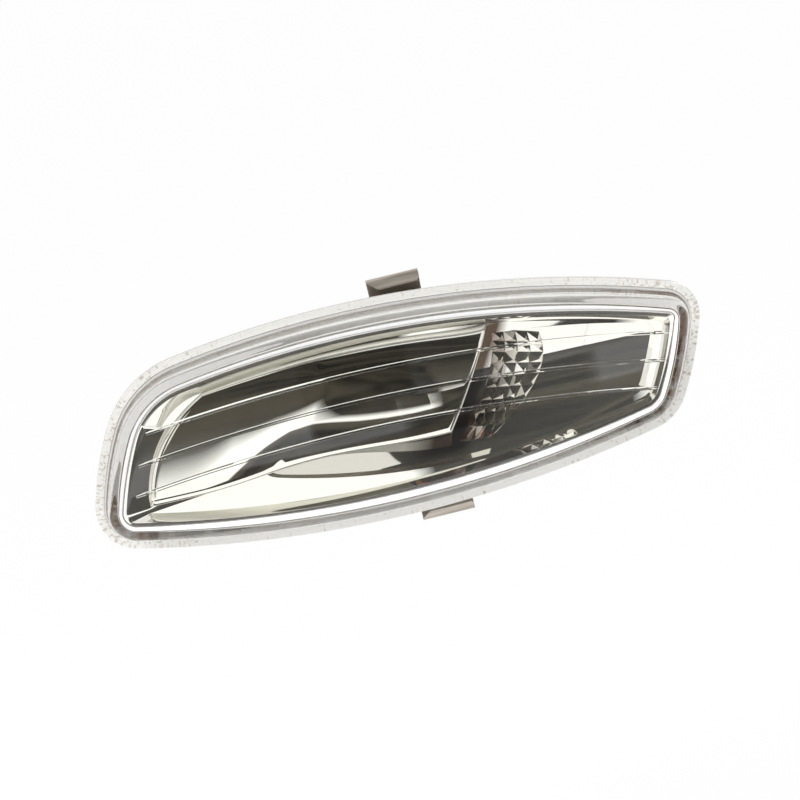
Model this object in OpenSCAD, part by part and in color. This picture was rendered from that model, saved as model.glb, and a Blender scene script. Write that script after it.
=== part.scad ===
// Side repeater lamp for a car body, millimetres.
// +X runs along the lamp, the lens looks along -Y, +Z is up on the car body.
// The origin lies on the outside of the body panel, in the middle of the opening.

/* [Lens outline] */
// Overall length that the corner rounds are placed from
lamp_l = 116.4; // [110:0.2:126]
// Overall height that the corner rounds are placed from
lamp_h = 41.5; // [40:0.1:46]
// Radius of the upper left corner
tl_r = 19.7; // [18.4:0.1:20.6]
// Upper left corner: centre of the round, from the left end
tl_end = 23.1; // [22:0.1:24.5]
// Upper left corner: centre of the round, from the top
tl_drop = 22.05; // [21.4:0.05:22.6]
// Radius of the upper right corner
tr_r = 6.4; // [5.8:0.1:7.4]
// Upper right corner: centre of the round, from the right end
tr_end = 6.65; // [6:0.05:7.6]
// Upper right corner: centre of the round, from the top
tr_drop = 16.6; // [16:0.05:17.4]
// Radius of the lower right corner
br_r = 9.7; // [9:0.1:10.4]
// Lower right corner: centre of the round, from the right end
br_end = 14.75; // [14:0.05:15.6]
// Lower right corner: centre of the round, from the bottom
br_rise = 14.35; // [13.8:0.05:15]
// Radius of the lower left corner
bl_r = 7.7; // [7.2:0.1:8.4]
// Lower left corner: centre of the round, from the left end
bl_end = 7.8; // [7.4:0.05:8.6]
// Lower left corner: centre of the round, from the bottom
bl_rise = 13.45; // [13:0.05:14.2]
// Radius of the long upper edge
top_edge_r = 195; // [180:1:230]
// Radius of the right edge
right_edge_r = 63.6; // [50:0.2:90]
// Radius of the long lower edge
bottom_edge_r = 228; // [200:1:260]
// Radius of the left edge
left_edge_r = 63.4; // [56:0.2:80]

/* [Lens] */
// Height of the crown of the lens above the body panel
crown_y = 13; // [12.4:0.1:14.5]
// Radius of the lens face along the lamp
face_r_long = 700; // [640:10:900]
// Radius of the lens face across the lamp
face_r_cross = 90; // [84:1:140]
// Wall of the lens face
lens_t = 2.1; // [1.6:0.1:2.3]
// Thickness of the lens flange
flange_t = 1.8; // [1.5:0.1:2.2]
// Inset of the foot of the side wall
foot_in = 2.1; // [1.8:0.1:2.3]
// Draft of the side wall, as further inset at its top
wall_draft = 0.4; // [0.2:0.1:0.6]
// Height of the side wall's top above the body panel
wall_top_y = 7; // [6.4:0.1:7.4]
// Width of the rounded shoulder
shoulder_w = 4.1; // [3.4:0.1:4.6]
// Inset of the outside of the sealing tongue
tongue_in = 3.3; // [3.1:0.05:3.5]
// Thickness of the sealing tongue
tongue_t = 1.6; // [1.4:0.1:1.7]
// Depth of the tongue behind the body panel's outside
tongue_y = 2.5; // [1.5:0.1:2.6]
// Width of a rib on the lens face
rib_w = 0.7; // [0.5:0.05:1]
// Height of a rib on the lens face
rib_h = 0.32; // [0.2:0.02:0.5]
// Distance between the ribs
rib_pitch = 5.15; // [4.6:0.05:5.6]
// Height of the middle rib's highest point above the lamp's middle
rib_mid_z = 3.95; // [3:0.05:5]
// Radius that the ribs follow
rib_r = 290; // [250:5:400]
// Ends of the upper rib, from the left and right ends of the lamp
rib_top_ends = [13.2, 7.2]; // [5:0.1:16]
// Ends of the middle rib
rib_mid_ends = [10.5, 9]; // [5:0.1:16]
// Ends of the lower rib
rib_low_ends = [8.7, 11.5]; // [5:0.1:16]

/* [Reflector] */
// Wall of the reflector
refl_t = 1.4; // [1.2:0.1:1.6]
// Height of the reflector's land above the body panel
land_y = 7.7; // [7.5:0.05:7.8]
// Width of the land
land_w = 0.6; // [0.5:0.05:0.7]
// Wall between the land and the ledge
refl_wall = 0.9; // [0.8:0.05:0.95]
// Wall round the edge of the bowl
bowl_wall = 0.7; // [0.5:0.05:0.75]
// Height of the ledge above the body panel
ledge_y = 5.6; // [5.2:0.1:6]
// Depth of the bowl's floor behind the ledge
bowl_deep = 5.6; // [5:0.1:6.4]
// Depth of the bowl's steep edge below the ledge
bowl_edge = 1.6; // [1:0.1:2]
// Columns of small facets beside the bulb
facet_cols = 4; // [3:1:5]
// Rows of small facets beside the bulb
facet_rows = 9; // [7:1:10]
// Height of a facet's peak
facet_h = 0.9; // [0.6:0.05:1.1]

/* [Bulb mask] */
// Wall of the mask
mask_t = 1.4; // [1.2:0.1:1.5]
// Height that the mask's lip stands over the bowl
lip_rise = 1.6; // [1.2:0.1:1.8]
// Crown of the mask along its ridge
mask_crown = 1.1; // [0.6:0.1:1.2]
// Rise of the mask's back behind its rolled-down left end
mask_rise_left = 0.7; // [0.4:0.1:0.8]
// Radius of the mask's edge that sits on the ledge
mask_edge_r = 1.15; // [0.9:0.05:1.2]
// Radius of the rounded lip
lip_r = 0.95; // [0.8:0.05:1.1]
// Depth of the lip's return behind the mask's wall
lip_return = 1.6; // [1:0.1:2]
// Gap between the mask's edge and the foot of the wall round it
mask_gap = 0.5; // [0.4:0.05:0.7]

/* [Housing] */
// Inset of the housing rim's outside
rim_in = 1.9; // [1.8:0.05:2]
// Wall of the housing rim
rim_t = 1; // [0.9:0.05:1.1]
// Thickness of the housing's floors
floor_t = 1.2; // [1:0.1:1.6]
// Bottom of the sealing groove behind the body panel's outside
groove_y = 3.6; // [3.2:0.1:4]
// Side clearance of the tongue in the groove
groove_gap = 0.4; // [0.3:0.05:0.5]
// Inside wall of the groove
inner_t = 0.8; // [0.7:0.05:0.85]
// Back of the tray behind the body panel's outside
tray_y = 9; // [8.8:0.1:11]
// Height of the stiffening ribs on the back
back_rib_h = 1.6; // [1:0.1:2.5]

/* [Gasket] */
// Inset of the gasket's outside
gasket_in = 0.3; // [0.2:0.05:0.4]
// Width of the gasket
gasket_w = 1.4; // [1.2:0.05:1.45]
// Thickness of the gasket, pressed
gasket_t = 1.2; // [1:0.1:1.5]

/* [Clips] */
// Place of the clips along the lamp
clip_x = 4.8; // [2:0.1:8]
// Width of a clip
clip_w = 9.8; // [9:0.1:10.4]
// Side clearance between a clip and the housing
clip_gap = 0.2; // [0.1:0.05:0.3]
// Thickness of the spring steel
clip_t = 0.5; // [0.4:0.05:0.6]
// Reach of the clip's elbow beyond the lens
clip_reach = 2.7; // [2.4:0.1:3.4]
// Reach of the clip's free edge beyond the lens
clip_free = 0.75; // [0.6:0.05:1]
// Depth of the elbow behind the body panel's outside
clip_elbow_y = 2.7; // [2.6:0.1:3.4]
// Depth of the free edge behind the body panel's outside
clip_free_y = 1; // [0.9:0.05:1.3]
// Height of a clip seat over the tray's side
seat_proud = 0.1; // [0.05:0.05:0.2]
// Back of the clip seats behind the body panel's outside
seat_y = 15; // [14:0.1:16.5]

/* [Bulb and holder] */
// Place of the bulb along the lamp
bulb_x = 4.8; // [3:0.1:6]
// Height of the bulb's axis
bulb_z = 1.5; // [1:0.1:2]
// Tip of the bulb above the body panel
bulb_tip_y = 5.6; // [4.8:0.1:6]
// Radius of the bulb's glass
bulb_r = 5.1; // [4.6:0.05:5.4]
// Wall of the bulb's glass
bulb_t = 0.7; // [0.5:0.05:0.9]
// Length of the bulb, with its wedge base
bulb_l = 26.8; // [26:0.1:27]
// Length of the wedge base
base_l = 8.6; // [8.2:0.1:9]
// Width of the wedge base
base_w = 9.4; // [9:0.1:9.6]
// Thickness of the wedge base
base_t = 4.2; // [3.8:0.1:4.4]
// Back of the housing's neck behind the body panel's outside
neck_y = 15; // [14.5:0.1:15.4]
// Radius of the neck's bore
bore_r = 7.9; // [7.8:0.05:8.2]
// Wall of the neck
neck_t = 1.4; // [1.2:0.1:1.8]
// Clearance of the holder in the bore
bore_gap = 0.2; // [0.1:0.05:0.3]
// Thickness of the bayonet's wall
bayonet_t = 2.4; // [2:0.1:2.6]
// Thickness of a bayonet lug
lug_t = 1.8; // [1.5:0.1:2.2]
// Reach of a bayonet lug beyond the holder's body
lug_h = 1.2; // [1:0.1:1.3]
// Thickness of the holder's seal
seal_t = 0.8; // [0.6:0.1:1.2]
// Thickness of the holder's flange
holder_flange_t = 2; // [1.6:0.1:2.4]
// Radius of the holder's flange
holder_flange_r = 10.4; // [10:0.1:11]
// Width of the plug shroud
shroud_w = 15; // [14.6:0.1:16]
// Height of the plug shroud
shroud_h = 10.4; // [10:0.1:11]
// Wall of the plug shroud
shroud_t = 1.3; // [1.1:0.05:1.5]
// Depth of the plug socket
socket_l = 11; // [10:0.5:13]
// Wall between the plug socket and the bulb's socket
web_t = 2; // [1.8:0.1:2.6]
// Width of a contact
contact_w = 2.8; // [2.4:0.1:3]
// Thickness of a contact
contact_t = 0.6; // [0.4:0.05:0.7]
// Distance between the contacts' middles
contact_pitch = 7; // [6.8:0.1:7.2]
// Radius of the bulb's lead wires
wire_r = 0.25; // [0.2:0.05:0.3]

/* [Hidden] */
$fn = 48;

// Corner rounds [x, z, radius], clockwise from the upper left, and the arcs that join each to the next
corners = [
    [-lamp_l / 2 + tl_end, lamp_h / 2 - tl_drop, tl_r],
    [lamp_l / 2 - tr_end, lamp_h / 2 - tr_drop, tr_r],
    [lamp_l / 2 - br_end, -lamp_h / 2 + br_rise, br_r],
    [-lamp_l / 2 + bl_end, -lamp_h / 2 + bl_rise, bl_r]];
edges = [top_edge_r, right_edge_r, bottom_edge_r, left_edge_r];
edge_steps = [14, 4, 14, 5];
corner_steps = [6, 5, 6, 8];

// Centre of the arc of radius r that holds the two corner rounds a and b from outside
function arc_centre(a, b, r) =
    let (v = [b[0] - a[0], b[1] - a[1]], d = norm(v), e = v / d, p = r - a[2], q = r - b[2],
        x = (d * d + p * p - q * q) / (2 * d), h = sqrt(p * p - x * x))
    [a[0] + e[0] * x + e[1] * h, a[1] + e[1] * x - e[0] * h];
function xz(c) = [c[0], c[1]];
function heading(v) = atan2(v[1], v[0]);
// Meeting point, nearest to c, of the circles of radius p about a and of radius q about b
function meeting(a, p, b, q, c) =
    let (v = b - a, d = norm(v), e = v / d, x = (d * d + p * p - q * q) / (2 * d),
        h = sqrt(max(p * p - x * x, 0)), m = a + e * x, n = [e[1], -e[0]] * h)
    norm(m + n - c) < norm(m - n - c) ? m + n : m - n;
// Corner i of the outline cs, es moved inwards by d, with its radius kept at 1 or more
function inner_corner(cs, es, i, d) =
    let (c = cs[i], last = (i + 3) % 4, next = (i + 1) % 4, r = max(c[2] - d, 1))
    c[2] - d >= 1 ? [c[0], c[1], r] :
    let (m = meeting(arc_centre(cs[last], c, es[last]), es[last] - d - r,
        arc_centre(c, cs[next], es[i]), es[i] - d - r, xz(c)))
    [m[0], m[1], r];
function arc_points(o, r, from, to, steps) =
    let (turn = to > from + 0.0001 ? to - 360 - from : to - from)
    [for (k = [0:steps - 1]) o + r * [cos(from + turn * k / steps), sin(from + turn * k / steps)]];
// Closed outline of four corner rounds and the arcs between them, moved inwards by d
function outline(cs, es, d) =
    let (centres = [for (i = [0:3]) arc_centre(cs[i], cs[(i + 1) % 4], es[i])],
        inner = [for (i = [0:3]) inner_corner(cs, es, i, d)])
    [for (i = [0:3]) let (j = (i + 1) % 4, o = centres[i], a = inner[i], b = inner[j],
        from = heading(xz(a) - o), to = heading(xz(b) - o), out = heading(xz(b) - centres[j]))
        each concat(arc_points(o, es[i] - d, from, to, edge_steps[i]),
            arc_points(xz(b), b[2], to, out, corner_steps[i]))];
function ring(d) = outline(corners, edges, d);

function mix(a, b, t) = a + (b - a) * t;
function ease(t) = let (u = min(max(t, 0), 1)) u * u * (3 - 2 * u);
function at_y(points, y) = [for (p = points) [p[0], y, p[1]]];

// Closed skin over rings of equal length, from a first point through the rings to a last point
module skin(first, rings, last) {
    n = len(rings[0]);
    m = len(rings);
    points = concat([first], [for (r = rings) each r], [last]);
    faces = concat(
        [for (i = [0:n - 1]) [0, 1 + i, 1 + (i + 1) % n]],
        [for (k = [0:m - 2], i = [0:n - 1]) let (a = 1 + k * n + i, b = 1 + k * n + (i + 1) % n)
            each [[a, a + n, b + n], [a, b + n, b]]],
        [for (i = [0:n - 1]) [m * n + 1, 1 + (m - 1) * n + (i + 1) % n, 1 + (m - 1) * n + i]]);
    polyhedron(points, faces);
}

// Plate between two grids of points of the same size, front and back
module plate(front, back) {
    m = len(front);
    n = len(front[0]);
    points = concat([for (r = front) each r], [for (r = back) each r]);
    o = m * n;
    sides = concat([for (i = [0:n - 1]) i], [for (k = [1:m - 1]) k * n + n - 1],
        [for (i = [n - 2:-1:0]) (m - 1) * n + i], [for (k = [m - 2:-1:1]) k * n]);
    s = len(sides);
    faces = concat(
        [for (k = [0:m - 2], i = [0:n - 2]) let (a = k * n + i)
            each [[a, a + n, a + n + 1], [a, a + n + 1, a + 1]]],
        [for (k = [0:m - 2], i = [0:n - 2]) let (a = o + k * n + i)
            each [[a, a + n + 1, a + n], [a, a + 1, a + n + 1]]],
        [for (i = [0:s - 1]) let (a = sides[i], b = sides[(i + 1) % s])
            each [[a, b, b + o], [a, b + o, a + o]]]);
    polyhedron(points, faces);
}

// Prism between two depths, drawn in X and Z
module slab(y0, y1) {
    translate([0, y1, 0]) rotate([90, 0, 0]) linear_extrude(y1 - y0) children();
}
// Band of the outline between two insets, from depth y0 to y1
module band(d0, d1, y0, y1) {
    slab(y0, y1) difference() {
        polygon(ring(d0));
        polygon(ring(d1));
    }
}
// Cylinder about an axis along Y
module post(x, z, r, y0, y1) {
    translate([x, y1, z]) rotate([90, 0, 0]) cylinder(r = r, h = y1 - y0);
}
// Strip of thickness t along a path of [z, y] points, w wide along X and centred on x
module strip(path, t, x, w) {
    n = len(path);
    dirs = [for (i = [0:n - 2]) (path[i + 1] - path[i]) / norm(path[i + 1] - path[i])];
    side = [for (i = [0:n - 1]) let (a = dirs[max(i - 1, 0)], b = dirs[min(i, n - 2)],
        c = (a + b) / norm(a + b)) [c[1], -c[0]] / (c * a) * t / 2];
    outer = [for (i = [0:n - 1]) path[i] + side[i]];
    inner = [for (i = [n - 1:-1:0]) path[i] - side[i]];
    translate([x - w / 2, 0, 0]) rotate([90, 0, 90]) linear_extrude(w)
        polygon([for (p = concat(outer, inner)) [p[1], p[0]]]);
}

// Shape of the lens face
function face_y(x, z) = -crown_y + x * x / (2 * face_r_long) + z * z / (2 * face_r_cross);
function shoulder(points, top, back, t) =
    [for (p = points) [p[0], mix(-top, face_y(p[0], p[1]) + back, t), p[1]]];
function shrunk(points, s, back) =
    [for (p = points) [p[0] * s, face_y(p[0] * s, p[1] * s) + back, p[1] * s]];
shoulder_in = foot_in + wall_draft + shoulder_w;
tongue_end = tongue_in + tongue_t;
turns = [15, 35, 55, 75, 90];
inner_w = shoulder_w - (tongue_end - foot_in - wall_draft) + 0.1;
flange_y = gasket_t + flange_t;

module lens_rib(offset) {
    // highest point of the rib and the place of its two ends
    x0 = -11;
    z0 = rib_mid_z + offset * rib_pitch;
    ends = offset == 1 ? rib_top_ends : offset == 0 ? rib_mid_ends : rib_low_ends;
    left = -lamp_l / 2 + ends[0];
    right = lamp_l / 2 - ends[1];
    steps = 16;
    path = [for (k = [0:steps]) let (x = mix(left, right, k / steps))
        [x, z0 - (x - x0) * (x - x0) / (2 * rib_r)]];
    // section of the rib, as shares of its half width and its height
    section = [[-1.15, -1.2], [-1, 0], [-0.55, 1], [0.55, 1], [1, 0], [1.15, -1.2]];
    rows = [for (k = [0:steps]) let (p = path[k], low = k == 0 || k == steps ? 0.25 : 1)
        [for (s = section) let (z = p[1] + s[0] * rib_w / 2 * mix(0.6, 1, low))
            [p[0], face_y(p[0], z) - s[1] * rib_h * (s[1] > 0 ? low : 1), z]]];
    n = len(section);
    polyhedron([for (r = rows) each r], concat(
        [for (k = [0:steps - 1], i = [0:n - 1]) let (a = k * n + i, b = k * n + (i + 1) % n)
            each [[a, b, b + n], [a, b + n, a + n]]],
        [[for (i = [n - 1:-1:0]) i], [for (i = [0:n - 1]) steps * n + i]]));
}

module lens() {
    front = concat(
        [for (s = [0.3, 0.62, 0.86]) shrunk(ring(shoulder_in), s, 0)],
        [for (i = [4:-1:0]) let (a = turns[i])
            shoulder(ring(shoulder_in - shoulder_w * cos(a)), wall_top_y, 0, sin(a))]);
    rim = [
        at_y(ring(foot_in + wall_draft), -wall_top_y),
        at_y(ring(foot_in + 0.1), -flange_y - 1),
        at_y(ring(foot_in - 0.1), -flange_y - 0.35),
        at_y(ring(foot_in - 0.5), -flange_y),
        at_y(ring(0.5), -flange_y + 0.1),
        at_y(ring(0.12), -flange_y + 0.4),
        at_y(ring(0), -gasket_t - flange_t / 2),
        at_y(ring(0), -gasket_t - 0.3),
        at_y(ring(0.3), -gasket_t),
        at_y(ring(tongue_in), -gasket_t),
        at_y(ring(tongue_in), tongue_y),
        at_y(ring(tongue_end), tongue_y),
        at_y(ring(tongue_end), -wall_top_y)];
    back = concat(
        [for (i = [0:4]) let (a = turns[i])
            shoulder(ring(tongue_end + inner_w * (1 - cos(a))), wall_top_y, lens_t, sin(a))],
        [for (s = [0.7, 0.4]) shrunk(ring(tongue_end + inner_w), s, lens_t)]);
    color([0.93, 0.95, 0.96, 0.35]) union() {
        skin([0, face_y(0, 0), 0], concat(front, rim, back), [0, face_y(0, 0) + lens_t, 0]);
        for (i = [-1:1]) lens_rib(i);
    }
}

// Foot of the wall round the ledge, and the edge of the bowl
land_out = tongue_end + groove_gap + 0.15;
wall_back = tongue_end + groove_gap + inner_t + 0.15;
foot_inset = wall_back + refl_wall + 0.05;
foot_corners = [
    [-lamp_l / 2 + 25.3, lamp_h / 2 - 22, 12.3],
    inner_corner(corners, edges, 1, foot_inset),
    inner_corner(corners, edges, 2, foot_inset),
    [-lamp_l / 2 + 11.1, -lamp_h / 2 + 13.45, 1]];
foot_edges = [top_edge_r - foot_inset, right_edge_r - foot_inset, bottom_edge_r - foot_inset, 60];
bowl_corners = [
    [-18, lamp_h / 2 - 19.55, 6],
    [lamp_l / 2 - 10.9, lamp_h / 2 - 18.15, 1.6],
    [lamp_l / 2 - 16.6, -lamp_h / 2 + 16.5, 4],
    [-22.6, -lamp_h / 2 + 18.05, 4.8]];
bowl_edges = [150, 60, 124, 40];
bowl_x = 13;
bowl_z = -2.2;
// Floor of the bowl
function floor_y(x, z) = -ledge_y + bowl_edge + (bowl_deep - bowl_edge)
    * (1 - pow((x - bowl_x) / 39, 2) - pow((z - bowl_z) / 13.5, 2));
function bowl_ring(s, wall, back) = [for (p = outline(bowl_corners, bowl_edges, -wall))
    let (x = mix(bowl_x, p[0], s), z = mix(bowl_z, p[1], s))
    [x, max(floor_y(x, z), -ledge_y + 0.4) + back, z]];

// Point of the facet patch, s from left to right and t from top to bottom
function facet_point(s, t) =
    let (left = [mix(20, 9.6, t) + 9.6 * t * (1 - t), mix(lamp_h / 2 - 11.55, -lamp_h / 2 + 11.15, t)],
        right = [mix(28.4, 15.2, t) + 17 * t * (1 - t), mix(lamp_h / 2 - 14.15, -lamp_h / 2 + 10.55, t)])
    mix(left, right, s);
function facet_at(s, t, rise) = let (p = facet_point(s, t)) [p[0], floor_y(p[0], p[1]) - rise, p[1]];

// Each facet has its peak near its lower right corner, so that it has one large and one small lit side
module facets() {
    m = facet_rows;
    n = facet_cols;
    w = n + 1;
    knots = [for (k = [0:m], i = [0:n]) facet_at(i / n, k / m, 0.25)];
    peaks = [for (k = [0:m - 1], i = [0:n - 1]) facet_at((i + 0.66) / n, (k + 0.7) / m, facet_h)];
    base = [for (k = [0:m], i = [0:n]) facet_at(i / n, k / m, -0.6)];
    o = len(knots);
    b = o + len(peaks);
    sides = concat([for (i = [0:n]) i], [for (k = [1:m]) k * w + n],
        [for (i = [n - 1:-1:0]) m * w + i], [for (k = [m - 1:-1:1]) k * w]);
    s = len(sides);
    polyhedron(concat(knots, peaks, base), concat(
        [for (k = [0:m - 1], i = [0:n - 1]) let (a = k * w + i, p = o + k * n + i)
            each [[a, a + 1, p], [a + 1, a + 1 + w, p], [a + w + 1, a + w, p], [a + w, a, p]]],
        [for (k = [0:m - 1], i = [0:n - 1]) let (a = b + k * w + i)
            each [[a, a + w + 1, a + 1], [a, a + w, a + w + 1]]],
        [for (i = [0:s - 1]) let (p = sides[i], q = sides[(i + 1) % s])
            each [[p, q + b, q], [p, p + b, q + b]]]));
}

module reflector() {
    front = concat(
        [for (s = [0.25, 0.5, 0.75, 0.96]) bowl_ring(s, 0, 0)],
        [at_y(outline(bowl_corners, bowl_edges, 0), -ledge_y),
            at_y(outline(foot_corners, foot_edges, 0), -ledge_y),
            at_y(ring(land_out + land_w), -land_y), at_y(ring(land_out), -land_y)]);
    back = concat(
        [at_y(ring(land_out), -land_y + refl_t), at_y(ring(wall_back), -land_y + refl_t),
            at_y(outline(foot_corners, foot_edges, -refl_wall), -ledge_y + refl_t),
            at_y(outline(bowl_corners, bowl_edges, -bowl_wall), -ledge_y + refl_t)],
        [for (s = [0.97, 0.75, 0.5, 0.25]) bowl_ring(s, bowl_wall, refl_t)]);
    color([0.82, 0.83, 0.83]) difference() {
        union() {
            skin([bowl_x, floor_y(bowl_x, bowl_z), bowl_z], concat(front, back),
                [bowl_x, floor_y(bowl_x, bowl_z) + refl_t, bowl_z]);
            facets();
        }
        post(bulb_x, bulb_z, bulb_r + 1.1, -ledge_y - 1, tray_y);
    }
}

// Outline of the mask, u from its left end to its lip and v from bottom to top
lip_low = [8.6, -lamp_h / 2 + 14.45];
lip_high = [19.4, lamp_h / 2 - 9.75];
top_centre = arc_centre(corners[0], corners[1], top_edge_r);
function top_z(x, inset) = top_centre[1] + sqrt(pow(top_edge_r - inset, 2) - pow(x - top_centre[0], 2));
function mask_point(u, v) =
    let (xb = mix(-lamp_l / 2 + 10.6, lip_low[0], u),
        zb = mix(-lamp_h / 2 + 13.85, lip_low[1], u) + 1.1 * sin(180 * ease((u - 0.15) / 0.85)),
        xt = mix(-lamp_l / 2 + 24.7, lip_high[0], u),
        zt = mix(top_z(xt, foot_inset + mask_gap), lip_high[1], pow(u, 8)))
    [mix(xb, xt, v) - 11 * v * (1 - v) * pow(1 - u, 2) + 1.2 * v * (1 - v) * u,
        mix(zb, zt, v) + 6 * v * (1 - v) * pow(1 - u, 4)];
// Rise of the mask over the ledge: a crown along a ridge that climbs from the lower left, the rise
// towards the lip, and soft slopes down to the left and upper edges
function ridge(u) = 0.1 + 0.5 * ease((u + 0.1) / 0.75);
function crown(u, v) = 1 - pow((v - ridge(u)) / max(ridge(u), 1 - ridge(u)), 2);
function mask_rise(u, v) = (1 - pow(max(0, 1 - u / 0.24), 2)) * (1 - pow(max(0, (v - 0.78) / 0.22), 2))
    * (lip_rise * ease((u - 0.36) / 0.64) * (1 - pow(v, 2.4))
        + mask_crown * (0.25 + 0.75 * ease(u / 0.5)) * crown(u, v) + mask_rise_left);
function roll(d, r) = d < r ? r - sqrt(r * r - pow(r - d, 2)) : 0;

module bulb_mask() {
    len_u = lip_low[0] + lamp_l / 2 - 10.6;
    len_v = lip_high[1] - lip_low[1];
    near = [0, 0.12, 0.45, lip_r, lip_r + 0.3];
    edge = [0, 0.12, 0.5, mask_edge_r];
    us = concat([for (d = edge) d / len_u],
        [0.05, 0.09, 0.14, 0.2, 0.27, 0.34, 0.41, 0.48, 0.55, 0.62, 0.69, 0.76, 0.83, 0.9, 0.95],
        [for (i = [4:-1:0]) 1 - near[i] / len_u]);
    vs = concat([for (d = near) d / len_v], [0.2, 0.34, 0.48, 0.62, 0.76, 0.82, 0.88],
        [for (i = [3:-1:0]) 1 - edge[i] / len_v]);
    function from_lip(u, v) = min((1 - u) * len_u, v * len_v);
    function from_edge(u, v) = min(u * len_u, (1 - v) * len_v);
    function base_y(u, v) = -ledge_y - mask_t - mask_rise(u, v);
    function rolled(u, v) = min(mask_edge_r,
        roll(from_lip(u, v), lip_r) + roll(from_edge(u, v), mask_edge_r));
    front = [for (v = vs) [for (u = us) let (p = mask_point(u, v))
        [p[0], base_y(u, v) + rolled(u, v), p[1]]]];
    back = [for (v = vs) [for (u = us) let (p = mask_point(u, v),
        deep = from_lip(u, v) < lip_r + 0.1 ? lip_return * min(mask_rise(u, v) / lip_rise * 1.2, 1) : 0)
        [p[0], min(base_y(u, v) + mask_t + deep, -ledge_y), p[1]]]];
    color([0.72, 0.73, 0.74]) plate(front, back);
}

// Depths and insets of the housing
rim_end = groove_y + floor_t;
inner_in = tongue_end + groove_gap;
groove_in = tongue_in - groove_gap;
clip_span = [for (k = [-1:0.5:1]) clip_x + k * (clip_w / 2 + clip_gap)];
seat_top = max([for (x = clip_span) top_z(x, inner_in)]) + seat_proud;
low_centre = arc_centre(corners[2], corners[3], bottom_edge_r);
function low_z(x, inset) = low_centre[1] - sqrt(pow(bottom_edge_r - inset, 2) - pow(x - low_centre[0], 2));
seat_low = min([for (x = clip_span) low_z(x, inner_in)]) - seat_proud;
catch_y0 = 8;
catch_y1 = 10.5;
catch_w = 3;
bayonet_y = neck_y - bayonet_t;
neck_r = bore_r + lug_h + 0.4 + neck_t;

// Seat of a clip, drawn for a face at height z, with up = 1 for the upper one and -1 for the lower one
module clip_seat(z, up) {
    w = clip_w + 2 * clip_gap;
    translate([clip_x, 0, z]) {
        translate([-w / 2 - 1, tray_y - floor_t, up > 0 ? -3 : 0])
            cube([w + 2, seat_y - tray_y + floor_t, 3]);
        for (s = [-1, 1]) translate([s * (w / 2 + 0.5) - 0.5, rim_end - 0.2, up > 0 ? -1 : -clip_t - 0.4])
            cube([1, seat_y - rim_end + 0.2, clip_t + 1.4]);
        translate([-catch_w / 2, 0, 0]) rotate([90, 0, 90]) linear_extrude(catch_w)
            polygon([[catch_y0, -0.5 * up], [catch_y0, 0.9 * up],
                [catch_y1, 0.2 * up], [catch_y1, -0.5 * up]]);
    }
}

module housing() {
    color([0.78, 0.77, 0.76]) difference() {
        union() {
            band(rim_in, groove_in, -gasket_t + 0.2, rim_end);
            band(groove_in - 0.1, inner_in + 0.1, groove_y, rim_end);
            band(inner_in, inner_in + inner_t, -land_y + refl_t, rim_end);
            slab(rim_end - 0.2, tray_y) polygon(ring(inner_in));
            // neck, cut back where a clip's bend passes it
            difference() {
                post(bulb_x, bulb_z, neck_r, tray_y - 0.5, neck_y);
                for (z = [[seat_top, 20], [-20, seat_low]])
                    translate([clip_x - clip_w / 2 - clip_gap, tray_y, z[0]])
                        cube([clip_w + 2 * clip_gap, neck_y, z[1] - z[0]]);
            }
            for (x = [-42, -31, -20, 30, 40]) slab(tray_y - 0.2, tray_y + back_rib_h)
                intersection() {
                    polygon(ring(inner_in + 1.5));
                    translate([x - 0.6, -25]) square([1.2, 50]);
                }
            for (a = [0, 180]) translate([bulb_x, 0, bulb_z]) rotate([0, a, 0])
                translate([neck_r - 0.5, tray_y - 0.2, -0.7]) cube([6, 3.5, 1.4]);
            clip_seat(seat_top, 1);
            clip_seat(seat_low, -1);
        }
        slab(-land_y, tray_y - floor_t) polygon(ring(inner_in + inner_t));
        post(bulb_x, bulb_z, bore_r, 0, neck_y + 1);
        post(bulb_x, bulb_z, bore_r + lug_h + 0.4, 0, bayonet_y);
        for (a = [90, 210, 330]) translate([bulb_x, 0, bulb_z]) rotate([0, a, 0])
            translate([bore_r - 1.5, bayonet_y - 1, -2.1]) cube([lug_h + 1.7, bayonet_t + 2, 4.2]);
    }
}

module sealing_bead() {
    color([0.45, 0.27, 0.1]) difference() {
        band(groove_in + 0.03, inner_in - 0.03, 0.9, groove_y);
        band(tongue_in - 0.02, tongue_end + 0.02, 0, tongue_y);
    }
}

module panel_gasket() {
    color([0.9, 0.89, 0.91]) band(gasket_in, gasket_in + gasket_w, -gasket_t, 0);
}

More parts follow.
